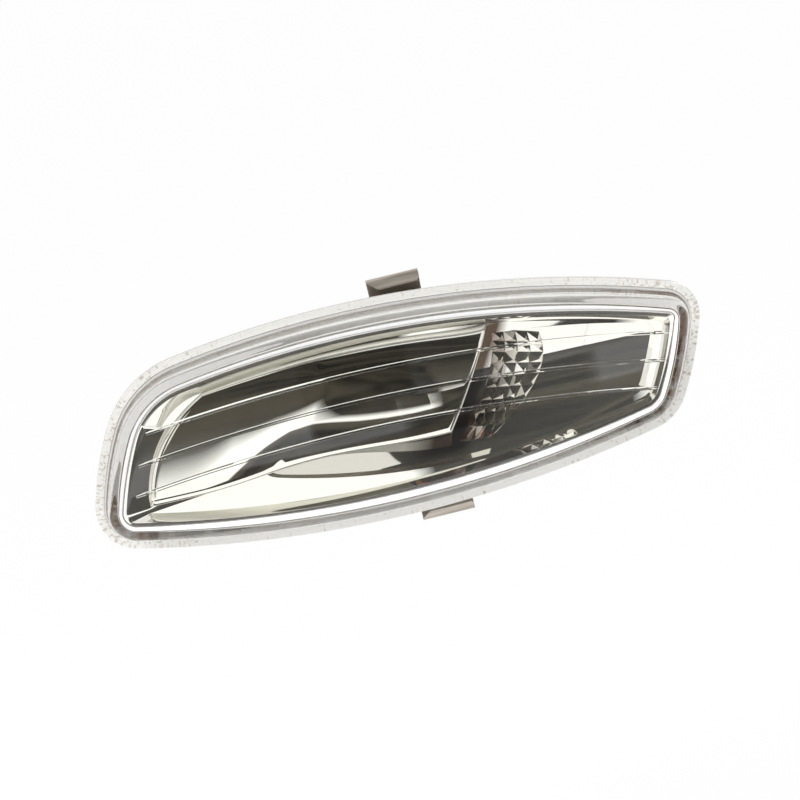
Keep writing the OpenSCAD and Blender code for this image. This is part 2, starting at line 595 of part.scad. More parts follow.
// Spring clip, with up = 1 for the upper one: tab on the seat, bend round its back, leg, elbow and flap
module clip(seat, edge, up) {
    bend_r = 0.9;
    bend_z = clip_t / 2 + bend_r;
    left = clip_x - clip_w / 2;
    right = clip_x + clip_w / 2;
    path = concat([[clip_t / 2, rim_end + 0.6], [clip_t / 2, seat_y + 0.4]],
        [for (a = [-60, -30, 0, 35, 70]) [bend_z + bend_r * sin(a), seat_y + 0.4 + bend_r * cos(a)]],
        [[up * (edge - seat) + clip_reach - 0.35, clip_elbow_y + 0.9],
            [up * (edge - seat) + clip_reach - clip_t / 2, clip_elbow_y],
            [up * (edge - seat) + clip_reach - 0.45, clip_elbow_y - 0.55],
            [up * (edge - seat) + clip_free + 0.1, clip_free_y]]);
    color([0.62, 0.6, 0.57]) difference() {
        strip([for (p = path) [seat + up * (p[0] + 0.02), p[1]]], clip_t, clip_x, clip_w);
        // window that snaps over the catch
        translate([clip_x - catch_w / 2 - 0.2, catch_y0 - 0.3, seat - 2])
            cube([catch_w + 0.4, catch_y1 - catch_y0 + 0.6, 4]);
        // chamfered corners of the flap
        slab(-1, clip_elbow_y - 0.3) {
            polygon([[left - 1, edge], [left + 2.9, edge + up * clip_free - up * 0.6],
                [left - 0.1, edge + up * (clip_reach - 0.3)], [left - 1, edge + up * clip_reach]]);
            polygon([[right + 1, edge], [right - 1, edge + up * clip_free - up * 0.6],
                [right + 0.1, edge + up * (clip_free + 1)], [right + 1, edge + up * (clip_free + 1)]]);
        }
    }
}
module upper_clip() {
    clip(seat_top, top_z(clip_x, 0), 1);
}
module lower_clip() {
    clip(seat_low, low_z(clip_x, 0), -1);
}

// Depths of the bulb, its holder and the plug socket
bulb_back = bulb_l - bulb_tip_y;
base_y0 = bulb_back - base_l;
seat_base_y = base_y0 + 0.4;
holder_front = bayonet_y - 0.15 - lug_t - 0.2;
flange_front = neck_y + seal_t;
flange_back = flange_front + holder_flange_t;
web_front = bulb_back + 0.7;
web_back = web_front + web_t;
shroud_end = web_back + socket_l;
contact_z = base_t / 2 + 2 * wire_r + contact_t / 2;

module holder_seal() {
    color([0.12, 0.12, 0.12]) difference() {
        post(bulb_x, bulb_z, bore_r + 1.7, neck_y, flange_front);
        post(bulb_x, bulb_z, bore_r - bore_gap + 0.05, neck_y - 1, flange_front + 1);
    }
}

module rounded(w, h, r) {
    square([w - 2 * r, h], center = true);
    square([w, h - 2 * r], center = true);
    for (x = [-1, 1], z = [-1, 1]) translate([x * (w / 2 - r), z * (h / 2 - r)]) circle(r, $fn = 24);
}

// Bayonet lug about the middle, from radius r0 to r1, half wide degrees to each side of the heading a
module lug(r0, r1, a, half) {
    polygon(concat([for (k = [-3:3]) r1 * [cos(a + half * k / 3), sin(a + half * k / 3)]],
        [for (k = [3:-1:-3]) r0 * [cos(a + half * k / 3), sin(a + half * k / 3)]]));
}

// Contact at side = -1 left or 1 right: finger beside the wedge base, step through the web, blade in
// the plug socket
module contact_shape(side, grow) {
    z = -side * contact_z;
    strip([[bulb_z + z, base_y0 + 1.6 - grow], [bulb_z + z, web_front + 0.1],
        [bulb_z, web_back - 0.1], [bulb_z, web_back + socket_l - 2.5 + grow]],
        contact_t + 2 * grow, bulb_x + side * contact_pitch / 2, contact_w + 2 * grow);
}

module bulb_holder() {
    color([0.2, 0.2, 0.21]) difference() {
        union() {
            post(bulb_x, bulb_z, bore_r - bore_gap, holder_front, flange_front + 0.1);
            post(bulb_x, bulb_z, holder_flange_r, flange_front, flange_back);
            slab(flange_back - 0.1, shroud_end)
                translate([bulb_x, bulb_z]) rounded(shroud_w, shroud_h, 1.6);
            // lugs of the bayonet, turned home behind the wall
            for (a = [130, 250, 10]) slab(holder_front + 0.2, bayonet_y - 0.15)
                translate([bulb_x, bulb_z]) lug(bore_r - bore_gap - 0.5, bore_r - bore_gap + lug_h, -a, 13);
            // latch for the plug, on the upper side of the shroud
            translate([bulb_x - 2, shroud_end - 5, bulb_z + shroud_h / 2 - 0.2]) cube([4, 2.2, 1.2]);
        }
        // recess round the glass, then the socket for the wedge base with room for the lead wires
        post(bulb_x, bulb_z, bulb_r + 0.3, holder_front - 1, seat_base_y);
        translate([bulb_x, holder_front - 1, bulb_z]) translate([-base_w / 2 - 0.15, 0, -base_t / 2 - 0.15])
            cube([base_w + 0.3, bulb_back - holder_front + 1.65, base_t + 0.3]);
        // room for the fingers of the contacts, each on its own side of the wedge base
        for (s = [-1, 1]) let (reach = contact_z + contact_t / 2 + 0.1)
            translate([bulb_x + s * contact_pitch / 2 - contact_w / 2 - 0.1, holder_front - 1,
                bulb_z - (s > 0 ? reach : 0)])
                cube([contact_w + 0.2, web_front - holder_front + 1, reach]);
        // plug socket
        slab(web_back, shroud_end + 1) translate([bulb_x, bulb_z])
            rounded(shroud_w - 2 * shroud_t, shroud_h - 2 * shroud_t, 0.6);
        contact_shape(-1, 0.01);
        contact_shape(1, 0.01);
    }
}

module left_contact() {
    color([0.75, 0.6, 0.3]) contact_shape(-1, 0);
}
module right_contact() {
    color([0.75, 0.6, 0.3]) contact_shape(1, 0);
}

// Glass envelope drawn about its own axis, from the tip towards the base
module envelope(r, tip, end) {
    translate([bulb_x, 0, bulb_z]) rotate([-90, 0, 0]) rotate_extrude($fn = 48) intersection() {
        union() {
            translate([0, tip + r]) circle(r, $fn = 48);
            translate([0, tip + r]) square([r, end - tip - r - 1]);
            translate([0, tip + r]) square([r - 1, end - tip - r]);
            translate([r - 1, end - 1]) circle(1, $fn = 24);
        }
        translate([0, tip]) square([r, end - tip]);
    }
}
module bulb_glass() {
    color([0.95, 0.55, 0.1, 0.6]) difference() {
        union() {
            envelope(bulb_r, -bulb_tip_y, base_y0);
            translate([bulb_x - base_w / 2, base_y0 - 1, bulb_z - base_t / 2])
                cube([base_w, base_l + 1, base_t]);
        }
        envelope(bulb_r - bulb_t, -bulb_tip_y + bulb_t, base_y0 - 1.2);
        for (s = [-1, 1])
            post(bulb_x + s * contact_pitch / 2, bulb_z, wire_r + 0.05, base_y0 - 2, bulb_back + 1);
    }
}

filament_y = 1.2;
filament_l = contact_pitch - 1.4;
// Lead wire: post inside the bulb, run through the base and turn back along its side
module lead_wire(side) {
    x = bulb_x + side * contact_pitch / 2;
    z = bulb_z - side * (base_t / 2 + wire_r);
    color([0.7, 0.7, 0.7]) union() {
        post(x, bulb_z, wire_r, filament_y, bulb_back + wire_r + 0.1);
        translate([x, bulb_back + wire_r + 0.1, bulb_z]) sphere(wire_r, $fn = 16);
        translate([x, bulb_back + wire_r + 0.1, min(bulb_z, z)])
            cylinder(r = wire_r, h = abs(z - bulb_z), $fn = 16);
        translate([x, bulb_back + wire_r + 0.1, z]) sphere(wire_r, $fn = 16);
        post(x, z, wire_r, base_y0 + 3, bulb_back + wire_r + 0.1);
        translate([x, filament_y, bulb_z]) sphere(wire_r, $fn = 16);
        translate([min(x, x - side * 0.7), filament_y, bulb_z]) rotate([0, 90, 0])
            cylinder(r = wire_r, h = 0.7, $fn = 16);
    }
}
module left_lead_wire() {
    lead_wire(-1);
}
module right_lead_wire() {
    lead_wire(1);
}

module filament() {
    color([0.4, 0.4, 0.42]) translate([bulb_x - filament_l / 2, filament_y, bulb_z]) rotate([0, 90, 0])
        cylinder(r = 0.4, h = filament_l, $fn = 16);
}

lens();
reflector();
bulb_mask();
housing();
sealing_bead();
panel_gasket();
upper_clip();
lower_clip();
bulb_holder();
holder_seal();
left_contact();
right_contact();
bulb_glass();
left_lead_wire();
right_lead_wire();
filament();
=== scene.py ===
# Side repeater lamp: clear crowned lens, metallised reflector and bulb mask, spring clips and twist-in bulb.
import math

import bpy
from mathutils import Matrix, Vector


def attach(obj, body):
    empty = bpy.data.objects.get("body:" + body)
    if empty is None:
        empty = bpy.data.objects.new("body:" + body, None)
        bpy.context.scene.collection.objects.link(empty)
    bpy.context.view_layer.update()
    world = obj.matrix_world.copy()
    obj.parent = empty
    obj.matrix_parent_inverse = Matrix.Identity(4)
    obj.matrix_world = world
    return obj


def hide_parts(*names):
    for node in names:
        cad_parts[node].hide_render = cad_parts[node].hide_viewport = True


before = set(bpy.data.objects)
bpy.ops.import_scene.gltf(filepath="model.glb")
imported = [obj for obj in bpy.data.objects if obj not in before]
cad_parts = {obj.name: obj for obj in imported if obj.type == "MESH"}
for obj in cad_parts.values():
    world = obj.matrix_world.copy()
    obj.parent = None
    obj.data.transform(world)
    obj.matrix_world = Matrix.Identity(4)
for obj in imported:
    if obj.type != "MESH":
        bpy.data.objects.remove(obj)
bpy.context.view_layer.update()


# Housing
# The grey moulding that carries everything: a tray with a sealing groove round its rim, two clip seats on its
# back and a short neck for the bulb holder. Light grey injection-moulded plastic with a fine eroded texture.
def new_material(name, colour, roughness, metallic=0.0):
    mat = bpy.data.materials.new(name)
    mat.use_nodes = True
    shader = mat.node_tree.nodes["Principled BSDF"]
    shader.inputs["Base Color"].default_value = (*colour, 1)
    shader.inputs["Roughness"].default_value = roughness
    shader.inputs["Metallic"].default_value = metallic
    return mat, mat.node_tree.nodes, mat.node_tree.links, shader


def grain(mat, scale, strength, distance, detail=4.0, stretch=(1, 1, 1)):
    """Fine bump on Object coordinates, as moulded, rolled or foamed surfaces have."""
    nodes, links = mat.node_tree.nodes, mat.node_tree.links
    place = nodes.new("ShaderNodeTexCoord")
    turn = nodes.new("ShaderNodeMapping")
    turn.inputs["Scale"].default_value = stretch
    noise = nodes.new("ShaderNodeTexNoise")
    noise.inputs["Scale"].default_value = scale
    noise.inputs["Detail"].default_value = detail
    bump = nodes.new("ShaderNodeBump")
    bump.inputs["Strength"].default_value = strength
    bump.inputs["Distance"].default_value = distance
    links.new(place.outputs["Object"], turn.inputs["Vector"])
    links.new(turn.outputs["Vector"], noise.inputs["Vector"])
    links.new(noise.outputs["Fac"], bump.inputs["Height"])
    links.new(bump.outputs["Normal"], nodes["Principled BSDF"].inputs["Normal"])
    return noise


def shade_from(noise, mat, low, high, socket="Base Color"):
    """Lets the grain's noise vary a colour or the roughness between two values."""
    nodes, links = mat.node_tree.nodes, mat.node_tree.links
    shader = nodes["Principled BSDF"]
    if socket == "Base Color":
        ramp = nodes.new("ShaderNodeValToRGB")
        ramp.color_ramp.elements[0].position, ramp.color_ramp.elements[1].position = 0.3, 0.7
        ramp.color_ramp.elements[0].color, ramp.color_ramp.elements[1].color = (*low, 1), (*high, 1)
        links.new(noise.outputs["Fac"], ramp.inputs["Fac"])
        links.new(ramp.outputs["Color"], shader.inputs[socket])
    else:
        span = nodes.new("ShaderNodeMapRange")
        span.inputs["To Min"].default_value, span.inputs["To Max"].default_value = low, high
        links.new(noise.outputs["Fac"], span.inputs["Value"])
        links.new(span.outputs["Result"], shader.inputs[socket])


def coat(node, mat):
    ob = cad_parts[node]
    for slot in ob.material_slots:
        slot.material = mat


housing_grey, *_ = new_material("housing_grey", (0.72, 0.71, 0.7), 0.5)
speckle = grain(housing_grey, 2600, 0.25, 0.00005)
shade_from(speckle, housing_grey, (0.66, 0.65, 0.64), (0.76, 0.75, 0.74))
coat("housing", housing_grey)


# Sealing bead
# A bead of pale hot-melt sealant in the housing's groove, which the lens tongue is pressed into. It shows
# through the foot of the clear lens, with brown patches towards both ends that are in part painted shade:
# the dark line along the lens's edge.
LAMP_END = 0.056


def patch_towards_ends(mat, scale, plain, patched, start, growth):
    """Patches of a second colour that grow from the distance start (m) towards both ends of the lamp."""
    nodes, links = mat.node_tree.nodes, mat.node_tree.links
    place, parts, reach, ramp, noise = (nodes.new("ShaderNode" + kind) for kind in (
        "TexCoord", "SeparateXYZ", "MapRange", "ValToRGB", "TexNoise"))
    ends, patches = nodes.new("ShaderNodeMath"), nodes.new("ShaderNodeMath")
    noise.inputs["Scale"].default_value = scale
    noise.inputs["Detail"].default_value = 4
    reach.inputs["From Min"].default_value, reach.inputs["From Max"].default_value = start, LAMP_END
    reach.inputs["To Min"].default_value, reach.inputs["To Max"].default_value = 0.0, growth
    ends.operation, patches.operation = "ABSOLUTE", "ADD"
    first, last = ramp.color_ramp.elements
    first.position, last.position = 0.6, 0.74
    first.color, last.color = (*plain, 1), (*patched, 1)
    links.new(place.outputs["Object"], parts.inputs[0])
    links.new(place.outputs["Object"], noise.inputs["Vector"])
    links.new(parts.outputs["X"], ends.inputs[0])
    links.new(ends.outputs[0], reach.inputs["Value"])
    links.new(reach.outputs["Result"], patches.inputs[0])
    links.new(noise.outputs["Fac"], patches.inputs[1])
    links.new(patches.outputs[0], ramp.inputs["Fac"])
    links.new(ramp.outputs["Color"], nodes["Principled BSDF"].inputs["Base Color"])


BEAD_PLAIN, BEAD_BROWN = (0.82, 0.8, 0.76), (0.3, 0.16, 0.07)
sealant, *_ = new_material("sealant", (0.78, 0.75, 0.7), 0.3)
grain(sealant, 420, 0.4, 0.0002)
# the brown patches towards both ends are in part painted shade, for the dark line along the lens's edge
patch_towards_ends(sealant, 420, BEAD_PLAIN, BEAD_BROWN, 0.036, 0.28)
coat("sealing_bead", sealant)


# Panel gasket
# A ring of pale closed-cell foam, cut from sheet and stuck behind the lens flange. It presses on the outside
# of the body panel, and it goes faintly darker and browner in patches towards both ends.
FOAM_PLAIN, FOAM_PATCHED = (0.87, 0.86, 0.84), (0.56, 0.5, 0.43)
foam, *_ = new_material("foam", FOAM_PLAIN, 0.9)
grain(foam, 2200, 0.1, 0.00003)
patch_towards_ends(foam, 1900, FOAM_PLAIN, FOAM_PATCHED, 0.03, 0.1)
coat("panel_gasket", foam)


# Spring clips
# Two clips bent from bare spring-steel strip, pushed over the housing's clip seats until their windows snap
# over the catches. Their flaps spring out behind the body panel.
spring_steel, *_ = new_material("spring_steel", (0.42, 0.38, 0.33), 0.4, 0.8)
rolled = grain(spring_steel, 900, 0.25, 0.00004, stretch=(0.08, 1, 1))
shade_from(rolled, spring_steel, (0.3, 0.26, 0.22), (0.58, 0.53, 0.46))
for node in ("upper_clip", "lower_clip"):
    coat(node, spring_steel)


# Bulb holder
# A dark grey twist-in holder with three bayonet lugs, a flange and the shroud of its two-way plug. It is
# moulded in one piece and locks into the housing's neck with a part of a turn.
holder_grey, *_ = new_material("holder_grey", (0.09, 0.09, 0.1), 0.45)
shade_from(grain(holder_grey, 2400, 0.25, 0.00005), holder_grey, (0.07, 0.07, 0.078), (0.115, 0.115, 0.125))
coat("bulb_holder", holder_grey)


# Holder seal
# A flat ring of black rubber between the housing's neck and the holder's flange. It is pressed flat when
# the holder is turned in, and keeps water out.
seal_rubber, *_ = new_material("seal_rubber", (0.03, 0.03, 0.03), 0.7)
shade_from(grain(seal_rubber, 1500, 0.3, 0.00005), seal_rubber, (0.022, 0.022, 0.022), (0.045, 0.045, 0.045))
coat("holder_seal", seal_rubber)


# Contacts
# Two strips stamped from brass and pressed into the holder: their fingers stand beside the bulb's base,
# and their blades reach into the plug socket.
contact_brass, *_ = new_material("contact_brass", (0.72, 0.55, 0.28), 0.25, 1.0)
shade_from(grain(contact_brass, 1200, 0.2, 0.00003, stretch=(1, 0.1, 1)), contact_brass,
           (0.6, 0.43, 0.2), (0.8, 0.64, 0.36))
for node in ("left_contact", "right_contact"):
    coat(node, contact_brass)


# Bulb
# An amber capless bulb: one piece of glass with a flat wedge base, two lead wires that run through the base
# and turn back along it, and a filament between their inner ends.
amber_glass, *_, shader = new_material("amber_glass", (0.8, 0.34, 0.06), 0.03)
shader.inputs["Transmission Weight"].default_value = 1.0
shader.inputs["IOR"].default_value = 1.5
shade_from(grain(amber_glass, 180, 0.1, 0.0001), amber_glass, (0.72, 0.27, 0.04), (0.88, 0.4, 0.08))
coat("bulb_glass", amber_glass)
wire_metal, *_ = new_material("wire_metal", (0.6, 0.6, 0.6), 0.3, 1.0)
shade_from(grain(wire_metal, 1800, 0.2, 0.00002), wire_metal, (0.5, 0.5, 0.5), (0.7, 0.7, 0.7))
for node in ("left_lead_wire", "right_lead_wire"):
    coat(node, wire_metal)
tungsten, *_ = new_material("tungsten", (0.2, 0.2, 0.22), 0.4, 1.0)
shade_from(grain(tungsten, 9000, 0.6, 0.00005, stretch=(1, 0.1, 0.1)), tungsten,
           (0.1, 0.1, 0.11), (0.3, 0.3, 0.32))
coat("filament", tungsten)


# Reflector
# A thin moulding with a bright vacuum-metallised front: a flat land that rests on the housing's inner wall, a
# ledge, a long oval bowl and a patch of small facets beside the bulb, which comes in through a round hole.
LENGTH, HEIGHT = 116.4, 41.5
CORNERS = [(-LENGTH / 2 + 23.1, HEIGHT / 2 - 22.05, 19.7), (LENGTH / 2 - 6.65, HEIGHT / 2 - 16.6, 6.4),
           (LENGTH / 2 - 14.75, -HEIGHT / 2 + 14.35, 9.7), (-LENGTH / 2 + 7.8, -HEIGHT / 2 + 13.45, 7.7)]
EDGES = [195, 63.6, 228, 63.4]


def arc_centre(first, last, radius):
    """Centre of the arc that holds the corner rounds first and last from outside."""
    gap = Vector((last[0] - first[0], last[1] - first[1]))
    span, to_first, to_last = gap.length, radius - first[2], radius - last[2]
    way = gap / span
    along = (span * span + to_first * to_first - to_last * to_last) / (2 * span)
    aside = math.sqrt(to_first * to_first - along * along)
    return Vector((first[0] + way.x * along + way.y * aside, first[1] + way.y * along - way.x * aside))


def inner_corner(corners, edges, i, inset):
    """Corner round i of the outline moved inwards, with its radius kept at 1 mm or more."""
    corner = corners[i]
    if corner[2] - inset >= 1:
        return (corner[0], corner[1], corner[2] - inset)
    before, after = (i + 3) % 4, (i + 1) % 4
    first = arc_centre(corners[before], corner, edges[before])
    last = arc_centre(corner, corners[after], edges[i])
    to_first, to_last = edges[before] - inset - 1, edges[i] - inset - 1
    gap = last - first
    way = gap.normalized()
    along = (gap.length ** 2 + to_first * to_first - to_last * to_last) / (2 * gap.length)
    aside = math.sqrt(max(to_first * to_first - along * along, 0))
    middle, step = first + way * along, Vector((way.y, -way.x)) * aside
    old = Vector(corner[:2])
    best = min((middle + step, middle - step), key=lambda spot: (spot - old).length)
    return (best.x, best.y, 1)


def outline(corners, edges, inset, edge_steps=(70, 20, 70, 26), corner_steps=(18, 18, 18, 26)):
    """Points of four corner rounds joined by long arcs, clockwise, moved inwards by inset (mm)."""
    points = []
    centres = [arc_centre(corners[i], corners[(i + 1) % 4], edges[i]) for i in range(4)]
    rounds = [inner_corner(corners, edges, i, inset) for i in range(4)]
    for i in range(4):
        j = (i + 1) % 4
        first, last = Vector(rounds[i][:2]), Vector(rounds[j][:2])
        ways = (first - centres[i], last - centres[i], last - centres[j])
        heads = [math.atan2(way.y, way.x) for way in ways]
        for centre, radius, start, end, steps in (
                (centres[i], edges[i] - inset, heads[0], heads[1], edge_steps[i]),
                (last, rounds[j][2], heads[1], heads[2], corner_steps[i])):
            turn = end - start - (2 * math.pi if end > start + 1e-6 else 0)
            for k in range(steps):
                angle = start + turn * k / steps
                points.append((centre.x + radius * math.cos(angle), centre.y + radius * math.sin(angle)))
    return points


def ring(inset):
    """The lamp's own outline, moved inwards."""
    return outline(CORNERS, EDGES, inset)


def at_depth(points, y):
    """Points of an outline laid at one depth."""
    return [(x, y, z) for x, z in points]


def mix(start, end, share):
    """The value that lies the given share of the way from start to end."""
    return start + (end - start) * share


def ease(share):
    """A share from 0 to 1 that sets out and arrives softly."""
    share = min(max(share, 0), 1)
    return share * share * (3 - 2 * share)


MM = 0.001
DOUBLES = 0.000002


def shaped_grid(name, rows, angle=35):
    """A closed grid whose rows are laid along the given rows of points (mm), with doubles merged."""
    count = len(rows[0]) + 1
    bpy.ops.object.select_all(action="DESELECT")
    bpy.ops.mesh.primitive_grid_add(x_subdivisions=count - 1, y_subdivisions=len(rows) - 1, size=1)
    ob = bpy.context.object
    ob.name = ob.data.name = name
    for k, row in enumerate(rows):
        for i in range(count):
            ob.data.vertices[k * count + i].co = Vector(row[i % len(row)]) * MM
    bpy.ops.object.mode_set(mode="EDIT")
    bpy.ops.mesh.select_all(action="SELECT")
    bpy.ops.mesh.remove_doubles(threshold=DOUBLES)
    bpy.ops.mesh.normals_make_consistent(inside=False)
    bpy.ops.object.mode_set(mode="OBJECT")
    bpy.ops.object.shade_smooth_by_angle(angle=math.radians(angle))
    return ob


def cut(ob, tool, operation="DIFFERENCE"):
    """Cuts or joins a piece with a tool body, which is then removed."""
    bpy.ops.object.select_all(action="DESELECT")
    bpy.context.view_layer.objects.active = ob
    ob.select_set(True)
    step = ob.modifiers.new("cut", "BOOLEAN")
    step.operation, step.object, step.solver = operation, tool, "EXACT"
    bpy.ops.object.modifier_apply(modifier=step.name)
    bpy.data.objects.remove(tool)


TONGUE_END, REFL_T, LAND_Y, LEDGE_Y = 4.9, 1.4, 7.7, 5.6
LAND_OUT, WALL_BACK, REFL_WALL, BOWL_WALL = TONGUE_END + 0.55, TONGUE_END + 1.35, 0.9, 0.7
LAND_IN, FOOT_IN = LAND_OUT + 0.6, WALL_BACK + REFL_WALL + 0.05
FOOT = [(-LENGTH / 2 + 25.3, HEIGHT / 2 - 22, 12.3), inner_corner(CORNERS, EDGES, 1, FOOT_IN),
        inner_corner(CORNERS, EDGES, 2, FOOT_IN), (-LENGTH / 2 + 11.1, -HEIGHT / 2 + 13.45, 1)]
FOOT_EDGES = [195 - FOOT_IN, 63.6 - FOOT_IN, 228 - FOOT_IN, 60]
BOWL = [(-18, 1.2, 6), (LENGTH / 2 - 10.9, 2.6, 1.6), (LENGTH / 2 - 16.6, -4.25, 4), (-22.6, -2.7, 4.8)]
BOWL_EDGES = [150, 60, 124, 40]
BOWL_X, BOWL_Z, BOWL_EDGE, BOWL_DEEP = 13, -2.2, 1.6, 5.6
BOWL_LONG, BOWL_HIGH, BOWL_STEP = 39, 13.5, 0.4
BULB_X, BULB_Z, BULB_HOLE = 4.8, 1.5, 6.2


def floor_y(x, z):
    """Depth of the bowl's floor."""
    return -LEDGE_Y + BOWL_EDGE + (BOWL_DEEP - BOWL_EDGE) * (
        1 - ((x - BOWL_X) / BOWL_LONG) ** 2 - ((z - BOWL_Z) / BOWL_HIGH) ** 2)


def bowl_ring(share, wall, back):
    """The bowl's outline shrunk to a share of its size and laid on the floor, or behind it by back."""
    points = []
    for x, z in outline(BOWL, BOWL_EDGES, -wall):
        x, z = mix(BOWL_X, x, share), mix(BOWL_Z, z, share)
        points.append((x, max(floor_y(x, z), -LEDGE_Y + BOWL_STEP) + back, z))
    return points


foot, bowl = outline(FOOT, FOOT_EDGES, 0), outline(BOWL, BOWL_EDGES, 0)
count = len(foot)
rows = [[(BOWL_X, floor_y(BOWL_X, BOWL_Z), BOWL_Z)] * count]
rows += [bowl_ring(share, 0, 0) for share in (
    0.06, 0.12, 0.2, 0.28, 0.36, 0.44, 0.52, 0.6, 0.68, 0.76, 0.84, 0.9, 0.94, 0.965, 0.98)]
rows += [at_depth(points, y) for points, y in (
    (bowl, -LEDGE_Y), (foot, -LEDGE_Y),
    (ring(LAND_IN), -LAND_Y), (ring(LAND_OUT), -LAND_Y),
    (ring(LAND_OUT), -LAND_Y + REFL_T), (ring(WALL_BACK), -LAND_Y + REFL_T),
    (outline(FOOT, FOOT_EDGES, -REFL_WALL), -LEDGE_Y + REFL_T),
    (outline(BOWL, BOWL_EDGES, -BOWL_WALL), -LEDGE_Y + REFL_T))]
rows += [bowl_ring(share, BOWL_WALL, REFL_T) for share in (0.97, 0.8, 0.6, 0.4, 0.2)]
rows += [[(BOWL_X, floor_y(BOWL_X, BOWL_Z) + REFL_T, BOWL_Z)] * count]
reflector = shaped_grid("reflector_shell", rows)
bpy.ops.object.select_all(action="DESELECT")
bpy.ops.mesh.primitive_cylinder_add(
    vertices=96, radius=BULB_HOLE / 1000, depth=0.02,
    location=(BULB_X / 1000, 0.004, BULB_Z / 1000), rotation=(math.pi / 2, 0, 0))
cut(reflector, bpy.context.object)


# the two dark browns are painted shade beside the mask's lip, where the hood throws and mirrors dark
BRIGHT, LIP_PAINTED_SHADE, FACET_PAINTED_SHADE = (0.95, 0.94, 0.89), (0.09, 0.06, 0.04), (0.14, 0.075, 0.04)


def paint_shade_beside_lip(mat, stops):
    """Paints shade on the strip beside the mask's right lip, over the height of the facets, by stops across
    it.
    """
    nodes, links = mat.node_tree.nodes, mat.node_tree.links
    place, parts, across, beyond, span, ramp = (nodes.new("ShaderNode" + kind) for kind in (
        "TexCoord", "SeparateXYZ", "VectorMath", "MapRange", "MapRange", "ValToRGB"))
    height, blend = nodes.new("ShaderNodeMath"), nodes.new("ShaderNodeMix")
    across.operation, across.inputs[1].default_value = "DOT_PRODUCT", (1, 0, -0.55)
    height.operation, blend.data_type = "ABSOLUTE", "RGBA"
    beyond.inputs["From Min"].default_value, beyond.inputs["From Max"].default_value = 0.0105, 0.0125
    span.inputs["From Min"].default_value, span.inputs["From Max"].default_value = 0.004, 0.024
    while len(ramp.color_ramp.elements) < len(stops):
        ramp.color_ramp.elements.new(1.0)
    for stop, (position, colour) in zip(ramp.color_ramp.elements, stops):
        stop.position, stop.color = position, (*colour, 1)
    links.new(place.outputs["Object"], parts.inputs[0])
    links.new(place.outputs["Object"], across.inputs[0])
    links.new(parts.outputs["Z"], height.inputs[0])
    links.new(height.outputs[0], beyond.inputs["Value"])
    links.new(across.outputs["Value"], span.inputs["Value"])
    links.new(span.outputs["Result"], ramp.inputs["Fac"])
    links.new(beyond.outputs["Result"], blend.inputs["Factor"])
    links.new(ramp.outputs["Color"], blend.inputs[6])
    blend.inputs[7].default_value = (*BRIGHT, 1)
    links.new(blend.outputs[2], nodes["Principled BSDF"].inputs["Base Color"])


# the strip beside the mask's lip is painted shade, dark brown fading back to bright, for the hood's shadow
# and mirrored underside
mirror_coat, *_ = new_material("mirror_coat", BRIGHT, 0.05, 0.965)
paint_shade_beside_lip(mirror_coat, ((0, BRIGHT), (0.3, LIP_PAINTED_SHADE), (0.58, LIP_PAINTED_SHADE), (0.69, BRIGHT)))
shade_from(grain(mirror_coat, 60, 0.0, 0.0004, 2.0), mirror_coat, 0.012, 0.03, "Roughness")
reflector.data.materials.clear()
reflector.data.materials.append(mirror_coat)
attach(reflector, "root")
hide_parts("reflector")

COLUMNS, ROWS = 4, 9
SEAM_RISE, PEAK_RISE = 0.25, 0.9


def facet_point(across, down, rise):
    """Point of the curved patch of facets (m), with its rise over the bowl's floor in mm."""
    left = (mix(20, 9.6, down) + 9.6 * down * (1 - down), mix(9.2, -9.6, down))
    right = (mix(28.4, 15.2, down) + 17 * down * (1 - down), mix(6.6, -10.2, down))
    x, z = mix(left[0], right[0], across), mix(left[1], right[1], across)
    return Vector((x, floor_y(x, z) - rise, z)) * MM


bpy.ops.object.select_all(action="DESELECT")
bpy.ops.mesh.primitive_grid_add(x_subdivisions=COLUMNS, y_subdivisions=ROWS, size=1)
facets = bpy.context.object
facets.name = facets.data.name = "reflector_facets"
for k in range(ROWS + 1):
    for i in range(COLUMNS + 1):
        facets.data.vertices[k * (COLUMNS + 1) + i].co = facet_point(i / COLUMNS, k / ROWS, SEAM_RISE)
bpy.ops.object.mode_set(mode="EDIT")
bpy.ops.mesh.select_all(action="SELECT")
bpy.ops.mesh.poke()
bpy.ops.object.mode_set(mode="OBJECT")
cells = [(i, k) for i in range(COLUMNS) for k in range(ROWS)]
for peak in facets.data.vertices[(ROWS + 1) * (COLUMNS + 1):]:
    # the poked middle of each cell is its peak, moved towards the cell's lower right corner
    i, k = min(cells, key=lambda cell: (
        facet_point((cell[0] + 0.5) / COLUMNS, (cell[1] + 0.5) / ROWS, SEAM_RISE) - peak.co).length)
    peak.co = facet_point((i + 0.66) / COLUMNS, (k + 0.7) / ROWS, PEAK_RISE)
bpy.ops.object.mode_set(mode="EDIT")
bpy.ops.mesh.select_all(action="SELECT")
bpy.ops.mesh.normals_make_consistent(inside=False)
bpy.ops.mesh.extrude_region_move(TRANSFORM_OT_translate={"value": (0, 0.0009, 0)})
bpy.ops.mesh.select_all(action="SELECT")
bpy.ops.mesh.normals_make_consistent(inside=False)
bpy.ops.object.mode_set(mode="OBJECT")
# the facets nearest the mask's lip are painted shade, tinted brown as a painted reflection of the amber bulb
facet_coat, *_ = new_material("facet_coat", BRIGHT, 0.03, 0.97)
paint_shade_beside_lip(facet_coat, ((0.5, FACET_PAINTED_SHADE), (0.97, BRIGHT)))
facets.data.materials.append(facet_coat)
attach(facets, "root")


# Bulb mask
# A second metallised moulding: a sail-like hood that stands on the ledge over the bulb, bulges towards the
# lens and ends in a thick rounded lip along the bottom and down the right side. Its rolled edges are rougher
# and
# half matt: partly scuffing, partly a painted highlight that lightens the lip.
MASK_T, LIP_R, EDGE_R, LIP_RISE, LIP_DEEP = 1.4, 0.95, 1.15, 1.6, 1.6
LIP_LOW, LIP_HIGH = (8.6, -6.3), (19.4, 11)
top_centre = arc_centre(CORNERS[0], CORNERS[1], EDGES[0])


